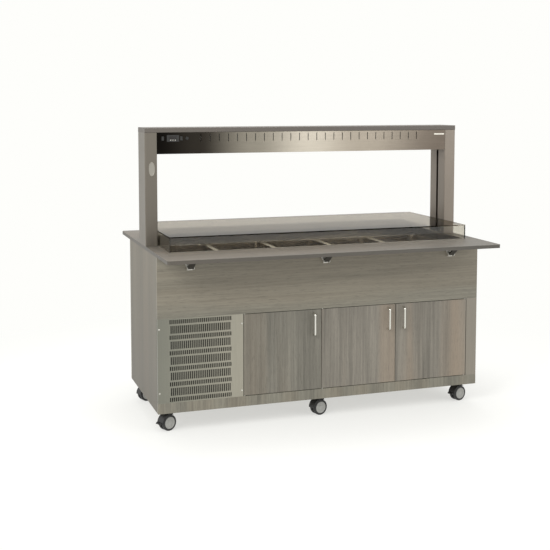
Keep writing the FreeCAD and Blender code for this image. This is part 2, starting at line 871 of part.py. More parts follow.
# ---------------------------------------------------------------- doors


def door_edges(number):
    """Left and right edge of a door, counted from the left."""
    left = bay_right + door_pitch * (number - 1)
    return (left + s.front_gap / 2, left + door_pitch - s.front_gap / 2)


def pivot_x(number):
    """The first two doors hang on their left edge, the last on its right."""
    left, right = door_edges(number)
    return right - s.pivot_inset if number == 3 else left + s.pivot_inset


door_z = (door_low + s.front_gap, door_high - s.front_gap)
pivot_y = s.pivot_inset - half_depth


def door(number):
    body = new_body(f"door_{number}")
    add_box(body, door_edges(number), (-half_depth, -inner_y), door_z)
    bore = (s.pivot_pin + s.pivot_clear) / 2
    deep = s.pivot_reach + 1
    for z in ((door_z[0], door_z[0] + deep), (door_z[1] - deep, door_z[1])):
        cut_rod(body, pivot_x(number), pivot_y, z, bore)


def door_pivot_pins():
    """A pin with a washer under and over each door."""
    body = new_body("door_pivot_pins")
    for number in (1, 2, 3):
        x = pivot_x(number)
        low = door_low
        high = door_high
        add_rod(body, x, pivot_y, (low, door_z[0] - seat), s.washer_wide / 2)
        add_rod(body, x, pivot_y, (low, door_z[0] + s.pivot_reach), s.pivot_pin / 2)
        add_rod(body, x, pivot_y, (door_z[1] + seat, high), s.washer_wide / 2)
        add_rod(body, x, pivot_y, (door_z[1] - s.pivot_reach, high), s.pivot_pin / 2)


def door_handle(number):
    """A round bar bent back to the door at both ends."""
    body = new_body(f"door_handle_{number}")
    left, right = door_edges(number)
    x = left + s.handle_inset if number == 3 else right - s.handle_inset
    radius = s.handle_bar / 2
    out = s.handle_reach - radius
    high = s.handle_long - radius
    bend = s.handle_bar
    ring = sketch_on(body, "XZ_Plane", 0)
    circle(ring, 0, radius, radius)
    path = sketch_on(body, "YZ_Plane", 0)
    handle_path(path, out, radius, high, bend)
    bar = body.newObject("PartDesign::AdditivePipe", "AdditivePipe")
    bar.Profile = ring
    bar.Spine = path
    place(body, x, -half_depth, door_z[1] - s.handle_drop - s.handle_long)


def handle_path(sketch, out, low, high, bend):
    """Out from the door, up, and back, with two quarter bends, in Y and Z."""
    o, a, b, r = (float(v) for v in (out, low, high, bend))
    sketch.addGeometry(Part.LineSegment(Vector(0, a, 0), Vector(r - o, a, 0)), False)
    ring = Part.Circle(Vector(r - o, a + r, 0), Vector(0, 0, 1), r)
    sketch.addGeometry(Part.ArcOfCircle(ring, math.pi, 1.5 * math.pi), False)
    sketch.addGeometry(Part.LineSegment(Vector(-o, a + r, 0), Vector(-o, b - r, 0)), False)
    ring = Part.Circle(Vector(r - o, b - r, 0), Vector(0, 0, 1), r)
    sketch.addGeometry(Part.ArcOfCircle(ring, 0.5 * math.pi, math.pi), False)
    sketch.addGeometry(Part.LineSegment(Vector(r - o, b, 0), Vector(0, b, 0)), False)
    rules = [
        Sketcher.Constraint("Tangent", 0, 2, 1, 2),
        Sketcher.Constraint("Tangent", 1, 1, 2, 1),
        Sketcher.Constraint("Tangent", 2, 2, 3, 2),
        Sketcher.Constraint("Tangent", 3, 1, 4, 1),
        Sketcher.Constraint("Horizontal", 0),
        Sketcher.Constraint("Horizontal", 4),
        Sketcher.Constraint("Equal", 1, 3),
    ]
    sketch.addConstraint(rules)
    fix_point(sketch, 0, 1, 0, low)
    fix_point(sketch, 4, 2, 0, high)
    rule = Sketcher.Constraint("DistanceX", -1, 1, 2, 1, -o)
    bind(sketch, f"Constraints[{sketch.addConstraint(rule)}]", -out)
    rule = Sketcher.Constraint("Radius", 1, r)
    bind(sketch, f"Constraints[{sketch.addConstraint(rule)}]", bend)


# ---------------------------------------------------------------- tray slides

hinge_y = -half_depth - s.hinge_out
hinge_z = deck_under - s.hinge_drop
strut_z = hinge_z - s.strut_drop
bracket_x = half - s.bracket_side
bracket_places = (-bracket_x, 0, bracket_x)
hinge_bore = (s.hinge_pin + s.turn_clear) / 2


def turned(label, facing):
    """A body drawn for the front; facing +1 turns it half round, for the back."""
    body = new_body(label)
    if facing > 0:
        body.Placement = FreeCAD.Placement(Vector(), Rotation(Vector(0, 0, 1), 180))
    return body


def tray_slide(label, facing):
    """Laminate flap, level with the worktop, with rounded outer corners."""
    body = turned(label, facing)
    y = (-half_depth - s.tray_gap - s.tray_deep, -half_depth - s.tray_gap)
    add_box(body, BOTH, y, (deck_under, s.worktop_z))
    outer = float(y[0]) + 1

    def corner(edge):
        return runs_along(edge, Vector(0, 0, 1)) and edge.BoundBox.YMax < outer

    round_edges(body, s.tray_round, corner)


def tray_arms(label, facing):
    """Folded channels screwed under the flap; their cheeks swing on the wall brackets' pins."""
    body = turned(label, facing)
    tip, heel = -half_depth - s.arm_long, hinge_y + s.lug
    steel = s.bracket_steel
    for x in bracket_places:
        channel = about(x, s.arm_wide)
        low = deck_under - s.arm_tall
        outline = [
            (heel, deck_under),
            (heel, hinge_z - 4),
            (hinge_y, hinge_z - s.lug),
            (hinge_y - 2 * s.lug, low),
            (tip + 30, low),
            (tip, deck_under - 6),
            (tip, deck_under),
        ]
        side_profile(body, channel, outline)
        inside = (channel[0] + steel, channel[1] - steel)
        cut_box(body, inside, (tip - 1, heel + 1), (hinge_z - s.lug - 1, deck_under - steel))
        bore = (channel[0] - 1, channel[1] + 1)
        cross_rod(body, bore, hinge_y, hinge_z, hinge_bore, "Pocket")


def tray_struts(label, facing):
    """Flat stays from the wall brackets to the arms."""
    body = turned(label, facing)
    rise = math.degrees(math.asin(s.strut_drop.number / s.strut_long.number))
    lean = math.radians(rise)
    along = (-math.cos(lean), math.sin(lean))
    across = (math.sin(lean), math.cos(lean))
    foot = (hinge_y, strut_z)
    thick = s.strut_thick / 2

    def at(distance, side):
        return tuple(foot[i] + distance * along[i] + side * across[i] for i in (0, 1))

    outline = [at(0, thick), at(s.strut_long, thick), at(s.strut_long, -thick), at(0, -thick)]
    for x in bracket_places:
        wide = about(x, s.strut_wide)
        side_profile(body, wide, outline)
        cross_rod(body, wide, *foot, s.strut_thick / 2 + 1.5)
        cross_rod(body, (wide[0] - 1, wide[1] + 1), *foot, hinge_bore, "Pocket")


def lug_outline(pin_z, low):
    """From the wall out to the pin, with the nose cut back so that the flap swings past it."""
    r = s.lug
    return [
        (-half_depth, pin_z + r),
        (hinge_y - r / 2, pin_z + r),
        (hinge_y - r, pin_z + r / 2),
        (hinge_y - r, pin_z - r / 2),
        (hinge_y - r / 2, pin_z - r),
        (-half_depth, low),
    ]


def tray_wall_brackets():
    """Six V-shaped wall plates, with lugs for the arm's hinge pin and for the stay's pin."""
    body = new_body("tray_wall_brackets")
    steel = s.bracket_steel
    top = deck_under - 1
    waist = deck_under - s.bracket_waist
    low = deck_under - s.bracket_tall
    wide, foot = s.bracket_wide / 2, s.bracket_foot / 2
    right = [(foot, low), (wide, waist), (wide, top)]
    corners = right + [(-x, z) for x, z in reversed(right)]
    stay_lugs = s.strut_wide + 2 * (s.strut_room + steel)
    made = []
    for x in bracket_places:
        plate = sketch_on(body, "XZ_Plane", half_depth)
        polygon(plate, [(x + across, z) for across, z in corners])
        made.append(extrude(body, "Pad", plate, steel))
        for width, pin_z, root in ((s.bracket_wide, hinge_z, waist), (stay_lugs, strut_z, low)):
            ends = about(x, width)
            for lug in ((ends[0], ends[0] + steel), (ends[1] - steel, ends[1])):
                made.append(side_profile(body, lug, lug_outline(pin_z, root)))
            made.append(cross_rod(body, ends, hinge_y, pin_z, s.hinge_pin / 2))
    mirror(body, made, "XZ_Plane")


# ---------------------------------------------------------------- castors

castor_xs = (s.castor_left - half, s.castor_middle, half - s.castor_right)
castor_y = half_depth - s.castor_side
castor_places = [(x, y) for y in (-castor_y, castor_y) for x in castor_xs]
wheel_r = s.wheel_wide / 2
track = s.wheel_disc * 2 + s.wheel_space
plate_low = s.floor_gap - s.plate_thick
head_low = plate_low - s.head_tall


def castor_plates():
    """Screwed plates under the base board, each with its kingpin."""
    body = new_body("castor_plates")
    for x, y in castor_places:
        add_round_box(body, about(x, s.plate_wide), about(y, s.plate_wide), (plate_low, s.floor_gap), 6)
        add_rod(body, x, y, (head_low, plate_low), s.kingpin / 2)


def castor_turn(number):
    return Rotation(Vector(0, 0, 1), SWIVELS[number - 1])


def castor_fork(number):
    """Swivel head, web between the wheels, and hood over them."""
    body = new_body(f"castor_fork_{number}")
    x, y = castor_places[number - 1]
    head_z = (head_low, plate_low - seat)
    centre = -s.castor_trail
    hub = s.axle / 2 + 4
    add_rod(body, 0, 0, head_z, s.head_wide / 2)
    sketch = sketch_on(body, "XZ_Plane", 0)
    outline = [
        (centre - hub, wheel_r - hub),
        (centre + hub, wheel_r - hub),
        (s.head_wide / 2 - 3, head_low + 2),
        (s.head_wide / 2 - 5, head_low + 6),
        (centre - s.head_wide / 2, head_low + 6),
        (centre - s.head_wide / 2 - 4, wheel_r + 10),
    ]
    polygon(sketch, outline)
    extrude(body, "Pad", sketch, s.wheel_space - 2 * s.web_clear, side="Symmetric")
    hood = sketch_on(body, "XZ_Plane", 0)
    rim = wheel_r + s.hood_gap
    hood_outline(hood, centre, wheel_r, rim, rim + s.hood_thick)
    extrude(body, "Pad", hood, track, side="Symmetric")
    bore = s.turn_clear / 2
    cut_rod(body, 0, 0, (head_low - 1, plate_low), s.kingpin / 2 + bore)
    depth_rod(body, centre, span(track / 2), wheel_r, s.axle / 2 + bore, "Pocket")
    if number - 1 in BRAKED:
        for side in (-1, 1):
            ear = about(side * (s.pedal_wide / 2 + 3), 4)
            add_box(body, about(pedal_x, 3 * s.pedal_pin), ear, about(pedal_z, 10))
        depth_rod(body, pedal_x, span(track / 2), pedal_z, s.pedal_pin / 2 + bore, "Pocket")
    place(body, x, y, 0, castor_turn(number))


def hood_outline(sketch, centre, height, inner, outer):
    """A band of a ring over the wheel, from the trailing side to the top."""
    start, end = math.radians(62), math.radians(180)
    c = Vector(float(centre), float(height), 0)
    ends = []
    for radius in (inner, outer):
        ring = Part.Circle(c, Vector(0, 0, 1), float(radius))
        sketch.addGeometry(Part.ArcOfCircle(ring, start, end), False)
        ends.append([c + float(radius) * Vector(math.cos(a), math.sin(a), 0) for a in (start, end)])
    sketch.addGeometry(Part.LineSegment(ends[0][0], ends[1][0]), False)
    sketch.addGeometry(Part.LineSegment(ends[0][1], ends[1][1]), False)
    rules = [
        Sketcher.Constraint("Coincident", 2, 1, 0, 1),
        Sketcher.Constraint("Coincident", 2, 2, 1, 1),
        Sketcher.Constraint("Coincident", 3, 1, 0, 2),
        Sketcher.Constraint("Coincident", 3, 2, 1, 2),
        Sketcher.Constraint("Coincident", 0, 3, 1, 3),
    ]
    sketch.addConstraint(rules)
    fix_point(sketch, 0, 3, centre, height)
    for arc, radius in ((0, inner), (1, outer)):
        rule = Sketcher.Constraint("Radius", arc, float(radius))
        bind(sketch, f"Constraints[{sketch.addConstraint(rule)}]", radius)
    for line, angle in ((2, start), (3, end)):
        sketch.addConstraint(Sketcher.Constraint("Angle", line, angle))


def castor_wheel(number):
    """Two tyred discs on one axle, turned as one profile; each face has a dished cap."""
    body = new_body(f"castor_wheel_{number}")
    x, y = castor_places[number - 1]
    half_track = track / 2
    space = s.wheel_space / 2
    axle = s.axle / 2
    cap = wheel_r - 10
    side = [
        (0, half_track - 3),
        (cap - 12, half_track - 3),
        (cap - 6, half_track),
        (cap, half_track),
        (cap, half_track - 1.5),
        (wheel_r - 4, half_track - 1.5),
        (wheel_r, half_track - 5),
        (wheel_r, space + 4),
        (wheel_r - 4, space),
        (axle, space),
    ]
    outline = side + [(px, -py) for px, py in reversed(side)]
    sketch = sketch_on(body, "XY_Plane", 0)
    polygon(sketch, outline)
    wheel = body.newObject("PartDesign::Revolution", "Revolution")
    wheel.Profile = sketch
    wheel.ReferenceAxis = (sketch, ["V_Axis"])
    wheel.Angle = 360
    turn = math.radians(SWIVELS[number - 1])
    trail_x = x - s.castor_trail * math.cos(turn)
    trail_y = y - s.castor_trail * math.sin(turn)
    place(body, trail_x, trail_y, wheel_r, castor_turn(number))


pedal_x = -s.castor_trail - wheel_r - s.hood_gap - s.hood_thick - s.pedal_out
pedal_z = wheel_r + s.pedal_up


def brake_pedal(order, number):
    """A tapered foot lever on a cross pin between the hood's two ears."""
    body = new_body(f"brake_pedal_{order}")
    x, y = castor_places[number - 1]
    tip = pedal_x - s.pedal_long
    sketch = sketch_on(body, "XZ_Plane", 0)
    outline = [
        (pedal_x + 2.5, pedal_z - 3),
        (pedal_x + 2.5, pedal_z + 3),
        (pedal_x - 4, pedal_z + 4),
        (tip, pedal_z + 2),
        (tip, pedal_z - 1),
        (pedal_x - 4, pedal_z - 3),
    ]
    polygon(sketch, outline)
    extrude(body, "Pad", sketch, s.pedal_wide, side="Symmetric")
    pin = sketch_on(body, "XZ_Plane", 0)
    circle(pin, pedal_x, pedal_z, s.pedal_pin / 2)
    extrude(body, "Pad", pin, s.pedal_wide + 10, side="Symmetric")
    place(body, x, y, 0, castor_turn(number))


# ---------------------------------------------------------------- refrigeration unit

tray_z = s.floor_gap + s.board
tray_top = tray_z + s.tray_steel
bay_mid = (bay_right - s.board - inner_x) / 2
coil_front = s.sheet_return + s.coil_clear - half_depth
coil_back = coil_front + s.coil_deep
coil_low = tray_z + 16
coil_high = coil_low + s.coil_tall
fan_z = coil_low + s.coil_tall / 2
shroud = (coil_back + s.shroud_gap, coil_back + s.shroud_gap + s.shroud_steel)
fan_y = (shroud[1] + 2, shroud[1] + 2 + s.fan_deep)
motor_y = (fan_y[1] + 6, fan_y[1] + 6 + s.motor_long)


def condenser_coil():
    """Finned block behind the grille, between two end plates that stand on the tray."""
    body = new_body("condenser_coil")
    block_x = about(bay_mid, s.coil_wide)
    y = (coil_front, coil_back)
    add_box(body, block_x, y, (coil_low, coil_high))
    plate = s.coil_plate
    for x in ((block_x[0] - plate, block_x[0]), (block_x[1], block_x[1] + plate)):
        add_box(body, x, y, (tray_top, coil_high + 2 * plate))
    sketch = sketch_on(body, "XY_Plane", coil_high)
    first = (block_x[0] + s.fin_room, block_x[0] + 2 * s.fin_room)
    rectangle(sketch, first, (coil_front - 1, coil_front + s.fin_deep))
    groove = extrude(body, "Pocket", sketch, s.coil_tall)
    row(body, [groove], sketch, "H_Axis", s.coil_wide - 3 * s.fin_room, s.fin_count)


def unit_frame():
    """Floor tray, fan shroud, and the motor on its post."""
    body = new_body("unit_frame")
    tray_x = about(bay_mid, s.coil_wide + 2 * s.tray_rim)
    add_box(body, tray_x, (coil_front, s.pot_wide + 70), (tray_z, tray_top))
    add_box(body, about(bay_mid, s.coil_wide), shroud, (tray_top, coil_high))
    depth_rod(body, bay_mid, shroud, fan_z, s.fan_wide / 2 + s.fan_clear, "Pocket")
    depth_rod(body, bay_mid, motor_y, fan_z, s.motor_wide / 2)
    depth_rod(body, bay_mid, (fan_y[0] + 4, motor_y[0]), fan_z, s.shaft / 2)
    post_y = (motor_y[0] + 20, motor_y[0] + 40)
    add_box(body, about(bay_mid, s.motor_wide / 2), post_y, (tray_top, fan_z))


def condenser_fan():
    """Hub and pitched blades that draw air through the coil."""
    body = new_body("condenser_fan")
    hub = span(s.fan_deep / 2)
    depth_rod(body, 0, hub, 0, s.fan_hub / 2)

    def blade_section(x, chord, pitch):
        sketch = sketch_on(body, "YZ_Plane", x)
        lean = math.radians(pitch)
        along = (math.sin(lean), math.cos(lean))
        across = (math.cos(lean), -math.sin(lean))
        corners = [(-chord, -1), (chord, -1), (chord, 1), (-chord, 1)]
        polygon(sketch, [tuple(a * along[i] + b * across[i] for i in (0, 1)) for a, b in corners])
        return sketch

    blade = body.newObject("PartDesign::AdditiveLoft", "AdditiveLoft")
    blade.Profile = blade_section(s.fan_hub / 2 - 4, 17, 38)
    blade.Sections = [(blade_section(s.fan_wide / 2, 30, 18), [""])]
    blades = body.newObject("PartDesign::PolarPattern", "PolarPattern")
    blades.Originals = [blade]
    blades.Axis = (origin_part(body, "Y_Axis"), [""])
    blades.Angle = 360
    bind(blades, "Occurrences", s.blade_count)
    body.Tip = blades
    bore = (s.shaft + s.turn_clear) / 2
    depth_rod(body, 0, span(s.fan_deep / 2 + 1), 0, bore, "Pocket")
    place(body, bay_mid, (fan_y[0] + fan_y[1]) / 2, fan_z)


def compressor():
    """Welded pot on three feet, with its terminal box and two pipe stubs."""
    body = new_body("compressor")
    r = s.pot_wide / 2
    low = s.pot_foot
    high = low + s.pot_tall
    seam = low + s.pot_seam
    shell = r - 4
    sketch = sketch_on(body, "XZ_Plane", 0)
    outline = [
        (0, low),
        (shell - 26, low),
        (shell, low + 24),
        (shell, seam),
        (r, seam),
        (r, seam + 8),
        (shell, seam + 8),
        (shell - 2, high - 36),
        (shell - 30, high),
        (0, high),
    ]
    polygon(sketch, outline)
    pot = body.newObject("PartDesign::Revolution", "Revolution")
    pot.Profile = sketch
    pot.ReferenceAxis = (sketch, ["V_Axis"])
    pot.Angle = 360
    for angle in (90, 210, 330):
        turn = math.radians(angle)
        x, y = (r * 0.92 * f for f in (math.cos(turn), math.sin(turn)))
        add_rod(body, x, y, (0, low + 6), 15)
        add_rod(body, x * 0.72, y * 0.72, (low, low + 6), 22)
    add_box(body, (shell - 8, shell + 26), span(26), (low + 40, low + 80))
    for x in (-30, -8):
        add_rod(body, x, 0, (high - 8, high + 26), 5)
    place(body, bay_mid, r - 10, tray_top)


# ---------------------------------------------------------------- power inlet

gland_x = s.gland_at - half
gland_z = door_low + s.gland_up


def cable_gland():
    """Screwed gland in the back panel: hexagon, dome and lock nut, with a clear bore."""
    body = new_body("cable_gland")
    corner = s.gland_nut / 2
    head = half_depth + s.gland_head
    for y0, y1 in ((half_depth, head), (inner_y - 6, inner_y)):
        sketch = sketch_on(body, "XZ_Plane", -y0)
        turns = [math.radians(60 * i) for i in range(6)]
        points = [(gland_x + corner * math.cos(a), gland_z + corner * math.sin(a)) for a in turns]
        polygon(sketch, points)
        extrude(body, "Pad", sketch, y1 - y0, back=True)
    depth_rod(body, gland_x, (inner_y, half_depth), gland_z, s.gland_thread / 2)
    depth_rod(body, gland_x, (head, head + s.gland_dome), gland_z, s.gland_thread / 2)
    bore_y = (inner_y - 7, head + s.gland_dome + 1)
    depth_rod(body, gland_x, bore_y, gland_z, s.gland_bore / 2, "Pocket")


# ---------------------------------------------------------------- making and writing


def make():
    for piece in (carcass_boards, side_panels, upper_front_panel, back_panel, vent_grille):
        piece()
    for piece in (steel_strip, worktop_frame, well_basin, divider_bars, well_insulation):
        piece()
    for number in range(1, int(s.pan_count.number) + 1):
        container(number)
    for piece in (columns, canopy_housing, top_shelf, lamp_unit, control_housings, lamp_button):
        piece()
    rocker("power_rocker", power_x, 5)
    rocker("lift_rocker", lift_x, 0)
    for piece in (cover_shell, cover_lift_arms, lift_actuators, door_pivot_pins):
        piece()
    for number in (1, 2, 3):
        door(number)
        door_handle(number)
    for name, facing in (("front", -1), ("back", 1)):
        tray_slide(f"{name}_tray_slide", facing)
        tray_arms(f"{name}_tray_arms", facing)
        tray_struts(f"{name}_tray_struts", facing)
    tray_wall_brackets()
    castor_plates()
    for number in range(1, len(SWIVELS) + 1):
        castor_fork(number)
        castor_wheel(number)
    for order, index in enumerate(BRAKED, start=1):
        brake_pedal(order, index + 1)
    for piece in (condenser_coil, unit_frame, condenser_fan, compressor, cable_gland):
        piece()


def check():
    """Stops with a message if anything failed, before a file is written."""
    doc.recompute()
    for item in doc.Objects:
        if any(state in ("Invalid", "Error") for state in item.State):
            owner = item.getParentGeoFeatureGroup()
            raise SystemExit(f"{item.Label} of {owner.Label if owner else 'the document'} failed")
    for body in nodes:
        if body.Shape.isNull() or not body.Shape.isValid() or not body.Shape.Solids:
            raise SystemExit(f"{body.Label} has no valid solid")


def write():
    os.makedirs("parts", exist_ok=True)
    for body in nodes:
        body.Shape.exportStep(f"parts/{body.Label}.step")
        solids = len(body.Shape.Solids)
        print(f"{body.Label}: {solids} solid(s), {body.Shape.Volume / 1000:.1f} cm3")
    print(len(nodes), "nodes")


make()
check()
write()
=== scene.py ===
# %% [markdown]
# A mobile salad bar, dressed in Blender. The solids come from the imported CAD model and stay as
# they are. Here they get their finishes, and the pieces that are too small or too soft in outline
# for CAD are modelled: castor wheels, screw heads, the bare badge and plate, and the thermostat's
# pane and keys.

# %% Load the frame
import json
import math

import bmesh
import bpy
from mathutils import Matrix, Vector


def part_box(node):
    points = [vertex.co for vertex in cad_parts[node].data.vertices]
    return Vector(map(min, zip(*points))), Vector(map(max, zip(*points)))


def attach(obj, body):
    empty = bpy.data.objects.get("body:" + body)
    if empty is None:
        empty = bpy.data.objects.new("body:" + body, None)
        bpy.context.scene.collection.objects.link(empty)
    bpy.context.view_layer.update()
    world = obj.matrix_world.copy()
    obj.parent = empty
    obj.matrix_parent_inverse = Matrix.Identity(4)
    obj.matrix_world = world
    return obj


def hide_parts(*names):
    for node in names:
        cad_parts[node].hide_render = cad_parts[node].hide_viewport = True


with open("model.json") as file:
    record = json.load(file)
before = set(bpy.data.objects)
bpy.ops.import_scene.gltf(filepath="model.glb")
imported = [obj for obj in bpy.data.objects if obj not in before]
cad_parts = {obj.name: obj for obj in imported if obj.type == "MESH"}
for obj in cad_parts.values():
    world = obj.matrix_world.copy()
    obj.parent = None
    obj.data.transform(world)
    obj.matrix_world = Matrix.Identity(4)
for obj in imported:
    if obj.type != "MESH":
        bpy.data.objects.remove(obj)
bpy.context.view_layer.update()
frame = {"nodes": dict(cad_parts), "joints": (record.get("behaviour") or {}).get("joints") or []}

nodes = frame["nodes"]
joints = {joint["name"]: joint for joint in frame["joints"]}

# %% [markdown]
# The camera stands left of the bar, a little above the worktop, and looks slightly down. The
# photograph was framed with its lens shifted. Half of that shift is kept here, and the rest
# became the tilt, so that views from other sides still hold the whole bar.

# %% Camera
camera_place = Vector((-1.9177, -5.2309, 1.6566))
camera_turn = math.radians(18.602)  # to the right of straight ahead
camera_tilt = math.radians(4.66)  # below level

camera_data = bpy.data.cameras.new("camera")
camera = bpy.data.objects.new("camera", camera_data)
bpy.context.collection.objects.link(camera)
camera.location = camera_place
camera.rotation_euler = (math.pi / 2 - camera_tilt, 0, -camera_turn)
camera_data.lens = 66.80
camera_data.sensor_width = 36  # both in millimetres
camera_data.shift_y = -0.165  # in widths of the picture
bpy.context.scene.camera = camera
print("camera", round((camera_place - Vector((0, 0, 0.8))).length, 2), "m from the bar")

# %% [markdown]
# Shader maths reads best as Python. A Signal wraps one output socket, so `1 - mask` adds the
# Math node that it says. A Finish is one material: its add method makes any other node.


# %% Shader helpers
class Signal:
    """One output of a shader node, ready for arithmetic."""

    def __init__(self, finish, socket):
        self.finish = finish
        self.socket = socket

    def maths(self, operation, *values):
        return self.finish.add("Math", {"operation": operation}, values)

    def __add__(self, other):
        return self.maths("ADD", self, other)

    __radd__ = __add__

    def __sub__(self, other):
        return self.maths("SUBTRACT", self, other)

    def __rsub__(self, other):
        return self.maths("SUBTRACT", other, self)

    def __mul__(self, other):
        return self.maths("MULTIPLY", self, other)

    __rmul__ = __mul__

    def __pow__(self, other):
        return self.maths("POWER", self, other)

    def step(self, low, high):
        """0 below low, 1 above high, and smooth between."""
        settings = {"interpolation_type": "SMOOTHSTEP"}
        ends = {"Value": self, "From Min": low, "From Max": high}
        return self.finish.add("MapRange", settings, ends)


class Finish:
    """A procedural material on one Principled shader."""

    def __init__(self, name):
        self.material = bpy.data.materials.new(name)
        self.material.use_nodes = True
        self.tree = self.material.node_tree
        self.shader = self.tree.nodes["Principled BSDF"]

    def feed(self, socket, value):
        if isinstance(value, Signal):
            self.tree.links.new(value.socket, socket)
        elif value is not None:
            socket.default_value = value

    def add(self, kind, settings=None, inputs=(), output=0):
        """Adds a node: its settings first, then its sockets by order or by name."""
        node = self.tree.nodes.new("ShaderNode" + kind)
        for name, value in (settings or {}).items():
            setattr(node, name, value)
        pairs = inputs.items() if isinstance(inputs, dict) else enumerate(inputs)
        for key, value in pairs:
            self.feed(node.inputs[key], value)
        return Signal(self, node.outputs[output])

    def coords(self, scale=(1, 1, 1), move=(0, 0, 0)):
        """The object's own coordinates, in metres, moved and stretched."""
        place = self.add("TexCoord", output="Object")
        inputs = {"Vector": place, "Location": move, "Scale": scale}
        return self.add("Mapping", inputs=inputs)

    def axis(self, name):
        """One coordinate of the object, in metres."""
        return self.add("SeparateXYZ", inputs=[self.add("TexCoord", output="Object")], output=name)

    def noise(self, vector, detail=4.0, roughness=0.55, distortion=0.0):
        inputs = {"Vector": vector, "Scale": 1.0, "Detail": detail}
        inputs.update({"Roughness": roughness, "Distortion": distortion})
        return self.add("TexNoise", inputs=inputs)

    def mix(self, amount, first, second):
        """Blends two colours."""
        values = {0: amount, 6: shade(first), 7: shade(second)}
        return self.add("Mix", {"data_type": "RGBA"}, values, output=2)

    def surface(self, height=None, bump=0.2, edge=0.0, **values):
        """Sets the shader's sockets, with a bump and softened edges where asked."""
        for name, value in values.items():
            socket = self.shader.inputs[name.replace("_", " ").title().replace("Ior", "IOR")]
            self.feed(socket, value if isinstance(value, (Signal, float)) else shade(value))
        normal = None
        if edge:
            normal = self.add("Bevel", {"samples": 6}, {"Radius": edge})
        if height is not None:
            inputs = {"Strength": bump, "Distance": 0.001, "Height": height, "Normal": normal}
            normal = self.add("Bump", inputs=inputs)
        if normal is not None:
            self.feed(self.shader.inputs["Normal"], normal)
        return self.material


def shade(colour):
    """A colour written as three screen values of 0 to 255, as the shader's linear ones."""
    if isinstance(colour, Signal) or colour is None:
        return colour
    parts = [(v / 255 + 0.055) / 1.055 if v > 10 else v / 255 / 12.92 for v in colour]
    return (*[p**2.4 if v > 10 else p for p, v in zip(parts, colour)], 1.0)


def paint(material, *names):
    """Gives CAD nodes their finish."""
    for name in names:
        slots = nodes[name].material_slots
        if slots:
            for one in slots:
                one.material = material
        else:
            nodes[name].data.materials.append(material)


# %% [markdown]
# The bar stands on a white floor that runs into a white background. The floor takes the shadow
# near the bar and is plain white further away. Metal and acrylic see the same white. Three large
# soft lamps stand for the studio's: the key at the left, a weaker one at the right, one on top.

# %% Floor, world and lamps
WORLD_FILL = 0.62  # how bright the surroundings are to matte surfaces
SHADOW_REACH = (1.3, 2.6)  # metres from the bar's middle over which the floor turns white
FLOOR_GLOW = 0.55  # how much of the floor near the bar is plain white already
STUDIO_WHITE = (254, 254, 251)


def white_floor():
    finish = Finish("floor_white")
    finish.surface(base_color=(246, 246, 244), roughness=0.8, specular_ior_level=0.0)
    x, y = finish.axis("X"), finish.axis("Y")
    away = ((x * x + y * y) ** 0.5).step(*SHADOW_REACH)
    white = finish.add("Emission", inputs={"Color": shade(STUDIO_WHITE), "Strength": 1.0})
    glow = away * (1 - FLOOR_GLOW) + FLOOR_GLOW
    blend = finish.add("MixShader", inputs=[glow, Signal(finish, finish.shader.outputs[0]), white])
    finish.feed(finish.tree.nodes["Material Output"].inputs["Surface"], blend)
    return finish.material


bpy.ops.object.select_all(action="DESELECT")
bpy.ops.mesh.primitive_plane_add(size=60, location=(0, 0, 0))
floor = bpy.context.object
floor.name = "floor"
floor.data.materials.append(white_floor())

world = bpy.data.worlds.new("studio")
bpy.context.scene.world = world
world.use_nodes = True
world_nodes, world_links = world.node_tree.nodes, world.node_tree.links
background = world_nodes["Background"]
background.inputs["Color"].default_value = shade(STUDIO_WHITE)
light_path = world_nodes.new("ShaderNodeLightPath")
seen = None
for ray in ("Is Camera Ray", "Is Glossy Ray", "Is Transmission Ray"):
    either = world_nodes.new("ShaderNodeMath")
    either.operation = "MAXIMUM"
    world_links.new(light_path.outputs[ray], either.inputs[0])
    if seen:
        world_links.new(seen, either.inputs[1])
    seen = either.outputs[0]
level = world_nodes.new("ShaderNodeMapRange")
level.inputs["To Min"].default_value = WORLD_FILL
level.inputs["To Max"].default_value = 1.0
world_links.new(seen, level.inputs["Value"])
world_links.new(level.outputs[0], background.inputs["Strength"])


def softbox(name, place, aim, size, watts):
    """A square area lamp that points from its place to its aim."""
    data = bpy.data.lights.new(name, "AREA")
    data.shape = "SQUARE"
    data.size = size
    data.energy = watts
    lamp = bpy.data.objects.new(name, data)
    bpy.context.collection.objects.link(lamp)
    lamp.location = place
    lamp.rotation_euler = (Vector(aim) - Vector(place)).to_track_quat("-Z", "Y").to_euler()


softbox("key", (-4.2, -3.2, 3.6), (0, 0, 0.8), 2.5, 190)
softbox("fill", (3.5, -4.5, 2.6), (0, 0, 0.7), 3.0, 60)
softbox("top", (0.3, 0.6, 4.5), (0, 0, 0.9), 3.0, 90)
bpy.context.scene.view_settings.view_transform = "Standard"
print("white floor, white surroundings and", len(bpy.data.lights), "lamps")
